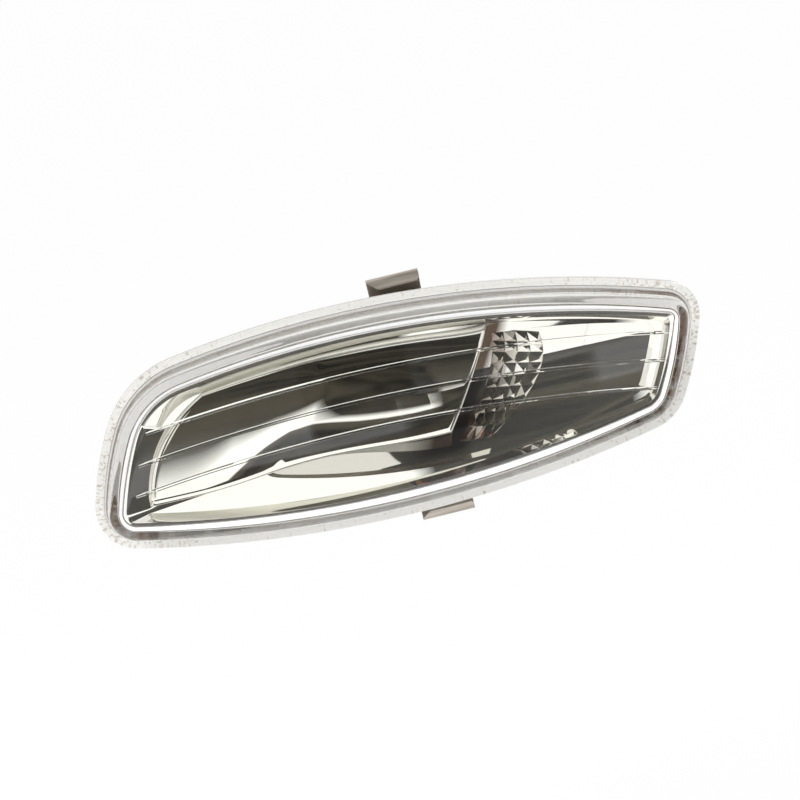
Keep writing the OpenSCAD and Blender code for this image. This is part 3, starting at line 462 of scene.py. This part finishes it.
def mask_point(u, v):
    """Place of the hood's point in the lamp's outline: u runs to the right lip, v up from the lower one."""
    low_x, high_x = mix(-LENGTH / 2 + 10.6, LIP_LOW[0], u), mix(-LENGTH / 2 + 24.7, LIP_HIGH[0], u)
    low_z = mix(-6.9, LIP_LOW[1], u) + 1.1 * math.sin(math.pi * ease((u - 0.15) / 0.85))
    edge = top_centre.y + math.sqrt((EDGES[0] - FOOT_IN - 0.5) ** 2 - (high_x - top_centre.x) ** 2)
    high_z = mix(edge, LIP_HIGH[1], u ** 8)
    return (mix(low_x, high_x, v) - 11 * v * (1 - v) * (1 - u) ** 2 + 1.2 * v * (1 - v) * u,
            mix(low_z, high_z, v) + 6 * v * (1 - v) * (1 - u) ** 4)


def mask_rise(u, v):
    """Rise over the ledge: a crown along a ridge from the lower left, and the rise towards the lip."""
    ridge = 0.1 + 0.5 * ease((u + 0.1) / 0.75)
    crown = 1 - ((v - ridge) / max(ridge, 1 - ridge)) ** 2
    left_end, top_end = 1 - max(0, 1 - u / 0.24) ** 2, 1 - max(0, (v - 0.78) / 0.22) ** 2
    to_lip = LIP_RISE * ease((u - 0.36) / 0.64) * (1 - v ** 2.4)
    bulge = 1.1 * (0.25 + 0.75 * ease(u / 0.5)) * crown
    return left_end * top_end * (to_lip + bulge + 0.7)


def roll(distance, radius):
    """How far a rolled edge lies back at a distance from its rim."""
    return radius - math.sqrt(radius * radius - (radius - distance) ** 2) if distance < radius else 0


def roll_steps(radius):
    """Distances from the rim in even steps of the roll's angle, and one just beyond the roll."""
    return [radius * (1 - math.cos(math.radians(angle))) for angle in range(0, 91, 10)] + [radius + 0.3]


def shares(first, last, length, steps):
    """Shares of a length: the first and last distances from its ends, and even steps between them."""
    start, end = first[-1] / length, 1 - last[-1] / length
    between = [mix(start, end, i / steps) for i in range(1, steps)]
    return [near / length for near in first] + between + [1 - near / length for near in reversed(last)]


len_u, len_v = LIP_LOW[0] + LENGTH / 2 - 10.6, LIP_HIGH[1] - LIP_LOW[1]
near_lip, near_edge = roll_steps(LIP_R), roll_steps(EDGE_R)
rows = []
for v in shares(near_lip, near_edge, len_v, 40):
    front, back = [], []
    for u in shares(near_edge, near_lip, len_u, 90):
        x, z = mask_point(u, v)
        lip, edge = min((1 - u) * len_u, v * len_v), min(u * len_u, (1 - v) * len_v)
        base = -LEDGE_Y - MASK_T - mask_rise(u, v)
        deep = LIP_DEEP * min(mask_rise(u, v) / LIP_RISE * 1.2, 1) if lip < LIP_R + 0.1 else 0
        front.append((x, base + min(roll(lip, LIP_R) + roll(edge, EDGE_R), EDGE_R), z))
        back.append((x, min(base + MASK_T + deep, -LEDGE_Y), z))
    rows.append(front + back[::-1])
for end in (0, -1):
    front, back = rows[end][:len(front)], rows[end][:len(front) - 1:-1]
    middle = [tuple((a + b) / 2 for a, b in zip(*pair)) for pair in zip(front, back)]
    rows.insert(0 if end == 0 else len(rows), middle + middle[::-1])
mask = shaped_grid("bulb_mask_hood", rows, 40)
mask_coat, nodes, links, shader = new_material("mask_coat", (0.95, 0.94, 0.87), 0.05, 1.0)
place, parts = nodes.new("ShaderNodeTexCoord"), nodes.new("ShaderNodeSeparateXYZ")
links.new(place.outputs["Normal"], parts.inputs[0])
# faces turned away from the lens, the rolled edges, go half matt and rougher: scuffing, and a painted
# highlight that lightens them
for socket, low, high in (("Metallic", 1.0, 0.5), ("Roughness", 0.02, 0.3)):
    rolled = nodes.new("ShaderNodeMapRange")
    rolled.inputs["From Min"].default_value, rolled.inputs["From Max"].default_value = -0.78, -0.45
    rolled.inputs["To Min"].default_value, rolled.inputs["To Max"].default_value = low, high
    links.new(parts.outputs["Y"], rolled.inputs["Value"])
    links.new(rolled.outputs["Result"], shader.inputs[socket])
mask.data.materials.append(mask_coat)
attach(mask, "root")
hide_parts("bulb_mask")


# Lens
# One clear moulding, polished inside and out: a rounded flange over the gasket, a side wall with a soft
# shoulder, a crowned face with three fine raised ribs, and a tongue that is bedded in the sealing bead.
CROWN_Y, FLANGE_Y, BACK_Y, WALL_TOP, FOOT_LENS, SHOULDER = 13, 3.0, 1.22, 7, 2.1, 4.1
SHOULDER_IN = FOOT_LENS + 0.4 + SHOULDER
INNER_W = SHOULDER - (TONGUE_END - FOOT_LENS - 0.4) + 0.1
LENS_T, TONGUE_IN, TONGUE_BACK, CROWN_LONG, CROWN_HIGH = 2.1, 3.3, 2.5, 1400, 180
# each rib: its steps up from the middle one, and how far its ends lie inside the lamp's length
RIBS = ((1, 13.2, 7.2), (0, 10.5, 9), (-1, 8.7, 11.5))
RIB_Z, RIB_GAP, RIB_HIGH, RIB_HALF, RIB_STEPS = 3.95, 5.15, 0.32, 0.35, 60
RIB_TOP_X, RIB_BEND = -11, 580
RIB_SECTION = ((-1.15, -1.2), (-1, 0), (-0.8, 0.7), (-0.4, 1), (0.4, 1), (0.8, 0.7), (1, 0), (1.15, -1.2))


def face_y(x, z):
    """Depth of the crowned face."""
    return -CROWN_Y + x * x / CROWN_LONG + z * z / CROWN_HIGH


def shrunk(points, share, back):
    """An outline shrunk to a share of its size and laid on the face, or behind it by back."""
    return [(x * share, face_y(x * share, z * share) + back, z * share) for x, z in points]


def shoulder(points, back, share):
    """An outline laid between the top of the side wall and the face."""
    return [(x, mix(-WALL_TOP, face_y(x, z) + back, share), z) for x, z in points]


turns = [math.radians(angle) for angle in range(6, 91, 7)]
rows = [[(0, face_y(0, 0), 0)] * count]
rows += [shrunk(ring(SHOULDER_IN), step / 20, 0) for step in range(1, 20)]
rows += [shoulder(ring(SHOULDER_IN - SHOULDER * math.cos(turn)), 0, math.sin(turn))
         for turn in reversed(turns)]
# the side wall, the flange with its two rounds, and the tongue: distance inwards and depth
rows += [at_depth(ring(inset), y) for inset, y in (
    (FOOT_LENS + 0.4, -WALL_TOP), (FOOT_LENS + 0.1, -FLANGE_Y - 1), (FOOT_LENS + 0.03, -FLANGE_Y - 0.7),
    (FOOT_LENS - 0.08, -FLANGE_Y - 0.38), (FOOT_LENS - 0.25, -FLANGE_Y - 0.13), (FOOT_LENS - 0.5, -FLANGE_Y),
    (0.7, -FLANGE_Y + 0.02), (0.42, -FLANGE_Y + 0.1), (0.2, -FLANGE_Y + 0.27), (0.06, -FLANGE_Y + 0.5),
    (0, -FLANGE_Y + 0.9), (0, -BACK_Y - 0.35), (0.08, -BACK_Y - 0.12), (0.3, -BACK_Y),
    (TONGUE_IN, -BACK_Y), (TONGUE_IN, TONGUE_BACK), (TONGUE_END, TONGUE_BACK), (TONGUE_END, -WALL_TOP))]
rows += [shoulder(ring(TONGUE_END + INNER_W * (1 - math.cos(turn))), LENS_T, math.sin(turn))
         for turn in turns]
rows += [shrunk(ring(TONGUE_END + INNER_W), step / 12, LENS_T) for step in range(11, 0, -1)]
rows += [[(0, face_y(0, 0) + LENS_T, 0)] * count]
lens = shaped_grid("lens_moulding", rows)

for offset, left, right in RIBS:
    rows = []
    for k in range(RIB_STEPS + 1):
        x = mix(-LENGTH / 2 + left, LENGTH / 2 - right, k / RIB_STEPS)
        z = RIB_Z + offset * RIB_GAP - (x - RIB_TOP_X) ** 2 / RIB_BEND
        low = min(1, 0.25 + 0.75 * min(k, RIB_STEPS - k))
        rows.append([(x, face_y(x, z) - high * RIB_HIGH * (low if high > 0 else 1),
                      z + wide * RIB_HALF * mix(0.6, 1, low)) for wide, high in RIB_SECTION])
    start, end = ([tuple(sum(point[i] for point in row) / len(row) for i in range(3))] * len(row)
                  for row in (rows[0], rows[-1]))
    rib = shaped_grid("rib", [start] + rows + [end], 30)
    cut(lens, rib, "UNION")
bpy.ops.object.select_all(action="DESELECT")
lens.select_set(True)
bpy.context.view_layer.objects.active = lens
bpy.ops.object.shade_smooth_by_angle(angle=math.radians(35))
lens_clear, nodes, links, shader = new_material("lens_clear", (1.0, 1.0, 1.0), 0.02)
shader.inputs["Transmission Weight"].default_value = 1.0
shader.inputs["IOR"].default_value = 1.49
shade_from(grain(lens_clear, 40, 0.02, 0.0004, 2.0), lens_clear, 0.0, 0.03, "Roughness")
# light that the pieces behind the lens send out goes straight through the clear wall
path, clear, blend = (nodes.new("ShaderNode" + kind) for kind in (
    "LightPath", "BsdfTransparent", "MixShader"))
clear.inputs["Color"].default_value = (0.95, 0.95, 0.942, 1)
matt, inside, mirrored, behind, either = (nodes.new("ShaderNodeMath") for _ in range(5))
matt.operation = either.operation = "MAXIMUM"
inside.operation, inside.inputs[1].default_value = "MODULO", 2
mirrored.operation = behind.operation = "SUBTRACT"
behind.use_clamp = True
links.new(path.outputs["Is Shadow Ray"], matt.inputs[0])
links.new(path.outputs["Is Diffuse Ray"], matt.inputs[1])
links.new(path.outputs["Transmission Depth"], inside.inputs[0])
links.new(path.outputs["Is Glossy Ray"], mirrored.inputs[0])
links.new(path.outputs["Is Transmission Ray"], mirrored.inputs[1])
links.new(mirrored.outputs[0], behind.inputs[0])
links.new(inside.outputs[0], behind.inputs[1])
links.new(matt.outputs[0], either.inputs[0])
links.new(behind.outputs[0], either.inputs[1])
links.new(either.outputs[0], blend.inputs[0])
links.new(shader.outputs[0], blend.inputs[1])
links.new(clear.outputs[0], blend.inputs[2])
links.new(blend.outputs[0], nodes["Material Output"].inputs["Surface"])
lens.data.materials.clear()
lens.data.materials.append(lens_clear)
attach(lens, "root")
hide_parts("lens")


# Floor, light and camera
# A pale floor well below the lamp, even light from all round, a soft light above and two light boxes. Dark
# cards, two of them close before the lamp, are there for the metallised pieces to mirror, as they mirror the
# dark side of a studio. The camera sees neither cards nor boxes.
def seen_rays(nodes, links, path):
    """1 for rays of the camera, of mirrors and of clear plastic, and 0 for scattered ones."""
    two, three = nodes.new("ShaderNodeMath"), nodes.new("ShaderNodeMath")
    two.operation = three.operation = "MAXIMUM"
    links.new(path.outputs["Is Camera Ray"], two.inputs[0])
    links.new(path.outputs["Is Glossy Ray"], two.inputs[1])
    links.new(two.outputs[0], three.inputs[0])
    links.new(path.outputs["Is Transmission Ray"], three.inputs[1])
    return three.outputs[0]


bpy.ops.object.select_all(action="DESELECT")
bpy.ops.mesh.primitive_plane_add(size=8, location=(0, 0, -0.11))
floor = bpy.context.object
floor.name = "studio_floor"
floor_white, nodes, links, shader = new_material("floor_white", (0.9, 0.9, 0.9), 0.8)
glow = nodes.new("ShaderNodeEmission")
path = nodes.new("ShaderNodeLightPath")
stronger = nodes.new("ShaderNodeMapRange")
stronger.inputs["To Min"].default_value, stronger.inputs["To Max"].default_value = 1.3, 1.0
links.new(path.outputs["Is Camera Ray"], stronger.inputs["Value"])
links.new(stronger.outputs["Result"], glow.inputs["Strength"])
share = nodes.new("ShaderNodeMath")
share.operation, share.inputs[1].default_value = "MULTIPLY", 0.9
links.new(seen_rays(nodes, links, path), share.inputs[0])
blend = nodes.new("ShaderNodeMixShader")
links.new(share.outputs[0], blend.inputs[0])
links.new(shader.outputs[0], blend.inputs[1])
links.new(glow.outputs[0], blend.inputs[2])
links.new(blend.outputs[0], nodes["Material Output"].inputs["Surface"])
floor.data.materials.append(floor_white)

# angles in degrees, distance in metres, sensor in millimetres, the picture's width in pixels, pixels to the
# metre at the lamp, and the pixel at which the lamp's middle lies
ELEVATION, ROLL, DISTANCE = 10.0, 13.75, 0.75
SENSOR, PIXELS, PER_METRE = 36, 800, 5475
MIDDLE, MIDDLE_X, MIDDLE_Y = Vector((0, -0.002, 0)), 395.7, 403.7
toward = Vector((0, -math.cos(math.radians(ELEVATION)), math.sin(math.radians(ELEVATION))))
bpy.ops.object.camera_add()
camera = bpy.context.object
camera.data.sensor_width = SENSOR
camera.data.lens = SENSOR * DISTANCE / (PIXELS / PER_METRE)
camera.data.clip_start = 0.01
turn = toward.to_track_quat("Z", "Y").to_matrix() @ Matrix.Rotation(math.radians(-ROLL), 3, "Z")
beside = Vector(((MIDDLE_X - PIXELS / 2) / PER_METRE, (PIXELS / 2 - MIDDLE_Y) / PER_METRE, 0))
aim = MIDDLE - turn @ beside
camera.matrix_world = Matrix.Translation(aim + toward * DISTANCE) @ turn.to_4x4()
bpy.context.scene.camera = camera

# cards of uneven tone with soft edges, which clear pieces see at about half strength
SEEN_THROUGH = 0.45
card_dark, nodes, links, shader = new_material("card_dark", (0.016, 0.015, 0.012), 1.0)
shader.inputs["Specular IOR Level"].default_value = 0
clear = nodes.new("ShaderNodeBsdfTransparent")
path = nodes.new("ShaderNodeLightPath")
blend = nodes.new("ShaderNodeMixShader")
unseen = nodes.new("ShaderNodeMath")
unseen.operation = "MAXIMUM"
partly = nodes.new("ShaderNodeMath")
partly.operation, partly.inputs[1].default_value = "MULTIPLY", SEEN_THROUGH
links.new(path.outputs["Is Transmission Ray"], partly.inputs[0])
links.new(path.outputs["Diffuse Depth"], unseen.inputs[0])
links.new(partly.outputs[0], unseen.inputs[1])
uneven = grain(card_dark, 2.4, 0.0, 0.001, 1.0)
uneven.inputs["Distortion"].default_value = 0.8
shade_from(uneven, card_dark, (0.004, 0.004, 0.003), (0.075, 0.066, 0.05))
place, parts = nodes.new("ShaderNodeTexCoord"), nodes.new("ShaderNodeSeparateXYZ")
side, down, edge, faded = (nodes.new("ShaderNodeMath") for _ in range(4))
side.operation, down.operation, down.inputs[1].default_value = "ABSOLUTE", "MULTIPLY", -1
edge.operation = faded.operation = "MAXIMUM"
fade = nodes.new("ShaderNodeMapRange")
fade.inputs["From Min"].default_value, fade.inputs["From Max"].default_value = 0.41, 0.5
links.new(place.outputs["Object"], parts.inputs[0])
links.new(parts.outputs["X"], side.inputs[0])
links.new(parts.outputs["Y"], down.inputs[0])
links.new(side.outputs[0], edge.inputs[0])
links.new(down.outputs[0], edge.inputs[1])
links.new(edge.outputs[0], fade.inputs["Value"])
links.new(fade.outputs["Result"], faded.inputs[0])
links.new(unseen.outputs[0], faded.inputs[1])
links.new(faded.outputs[0], blend.inputs[0])
links.new(shader.outputs[0], blend.inputs[1])
links.new(clear.outputs[0], blend.inputs[2])
links.new(blend.outputs[0], nodes["Material Output"].inputs["Surface"])


def hang(plane, name, size, mat):
    """Names, sizes and coats a plane that only mirrors and clear pieces see."""
    plane.name = name
    plane.scale = (*size, 1)
    plane.data.materials.append(mat)
    plane.visible_camera = plane.visible_diffuse = plane.visible_shadow = False


UPRIGHT, LYING = math.pi / 2, 0
for name, middle, size, lean in (
        ("dark_screen", (-0.325, -0.85, 0.3), (1.55, 0.82), UPRIGHT),
        ("dark_upper_screen", (-0.4, -0.86, 0.79), (1.42, 0.35), UPRIGHT),
        ("dark_ceiling", (-0.4, -0.6, 0.95), (1.42, 0.7), LYING),
        ("dark_mat", (-0.2, -0.29, -0.105), (0.9, 0.24), LYING),
        ("dark_side_mat", (0.16, -0.1, -0.104), (0.24, 0.2), LYING),
        ("dark_near_card", (0.026, -0.1, -0.0208), (0.052, 0.0265), UPRIGHT),
        ("dark_left_card", (-0.0085, -0.1, 0.0), (0.029, 0.044), UPRIGHT)):
    bpy.ops.mesh.primitive_plane_add(size=1, location=middle, rotation=(lean, 0, 0))
    hang(bpy.context.object, name, size, card_dark)

BOX_DISTANCE = 0.8
soft_white, *_, shader = new_material("soft_white", (0, 0, 0), 1.0)
shader.inputs["Emission Color"].default_value = (1, 0.98, 0.94, 1)
shader.inputs["Emission Strength"].default_value = 0.9
for name, heading, height, size in (
        ("right_softbox", 17, 19, (0.2, 0.3)), ("left_softbox", -23, 7, (0.12, 0.15))):
    heading, height = math.radians(heading), math.radians(height)
    flat = math.cos(height)
    way = Vector((math.sin(heading) * flat, -math.cos(heading) * flat, math.sin(height)))
    bpy.ops.mesh.primitive_plane_add(size=1, location=way * BOX_DISTANCE)
    box = bpy.context.object
    box.rotation_euler = way.to_track_quat("Z", "Y").to_euler()
    hang(box, name, size, soft_white)

bpy.ops.object.light_add(type="AREA", location=(-0.35, -0.5, 0.7))
key = bpy.context.object
key.data.shape, key.data.size, key.data.energy = "DISK", 0.6, 3.5
key.rotation_euler = key.location.to_track_quat("Z", "Y").to_euler()
key.visible_glossy = key.visible_transmission = False

world = bpy.data.worlds.new("studio")
bpy.context.scene.world = world
world.use_nodes = True
nodes, links = world.node_tree.nodes, world.node_tree.links
path = nodes.new("ShaderNodeLightPath")
level = nodes.new("ShaderNodeMapRange")
level.inputs["To Min"].default_value, level.inputs["To Max"].default_value = 0.95, 1.0
links.new(seen_rays(nodes, links, path), level.inputs["Value"])
nodes["Background"].inputs["Color"].default_value = (1, 1, 1, 1)
links.new(level.outputs["Result"], nodes["Background"].inputs["Strength"])
bpy.context.scene.view_settings.view_transform = "Standard"
bpy.context.scene.cycles.max_bounces = 24
bpy.context.scene.cycles.diffuse_bounces = 12
bpy.context.scene.cycles.glossy_bounces = 12
bpy.context.scene.cycles.transmission_bounces = 24
